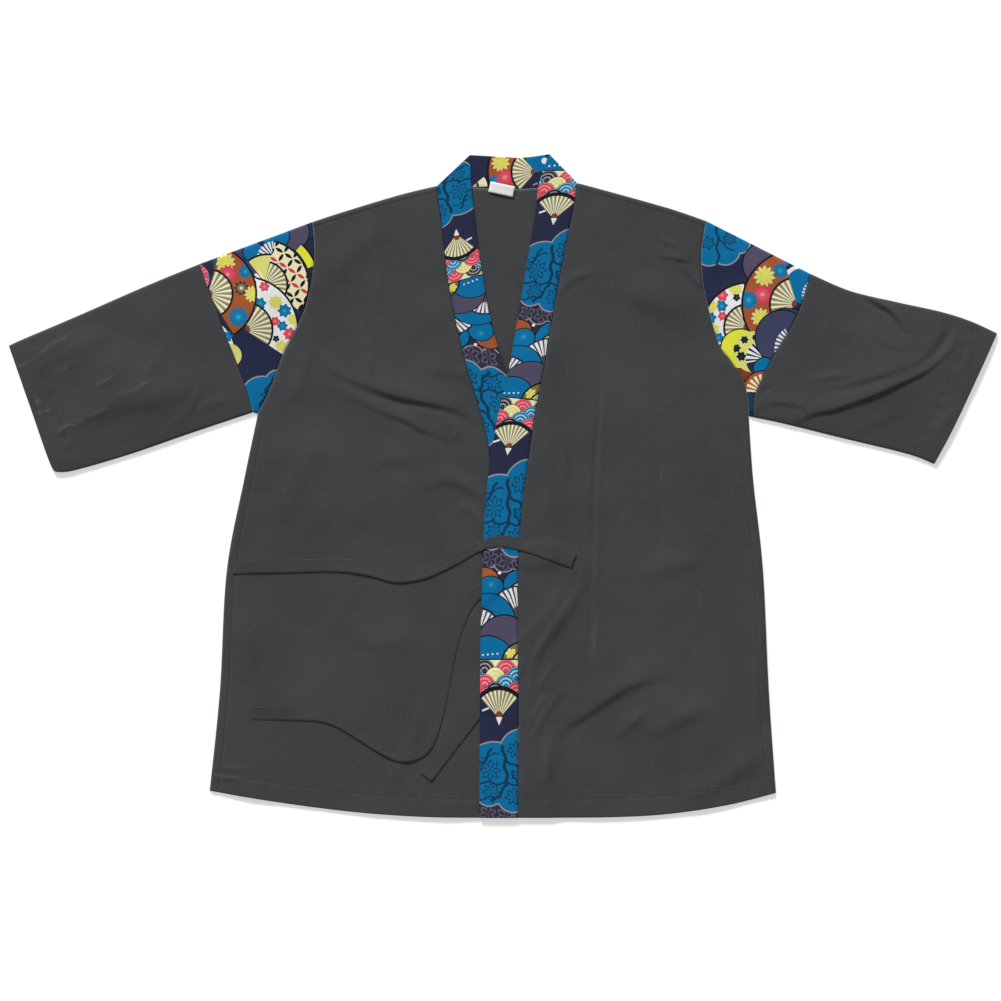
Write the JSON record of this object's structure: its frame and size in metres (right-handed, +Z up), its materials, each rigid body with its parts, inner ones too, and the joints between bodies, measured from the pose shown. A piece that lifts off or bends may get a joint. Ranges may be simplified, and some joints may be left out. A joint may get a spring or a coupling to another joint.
{
  "type": "japanese chef jacket laid flat",
  "caption": "Kimono-style chef's jacket laid flat: plain dark body, printed collar band and sleeve tops, three-quarter sleeves and cloth ties.",
  "frame": {"origin": "on the table, under the middle of the laid jacket's bounding box", "axes": "+X to the wearer's left sleeve, +Y from the hem to the neck, +Z up from the table"},
  "size_m": [1.106, 0.743, 0.0148],
  "materials": {
    "body_cloth": "matte charcoal twill",
    "print_cloth": "smooth printed cotton",
    "label_tape": "satin tape"
  },
  "bodies": {
    "root": {"back": "body_cloth", "front_right": "body_cloth", "front_left": "body_cloth", "collar_right": "print_cloth", "collar_back": "print_cloth", "collar_left": "print_cloth", "sleeve_top_right": "print_cloth", "sleeve_right": "body_cloth", "sleeve_top_left": "print_cloth", "sleeve_left": "body_cloth", "tie_side_outer": "body_cloth", "tie_front_outer": "body_cloth", "tie_front_inner": "body_cloth", "neck_label": "label_tape"}
  },
  "joints": []
}
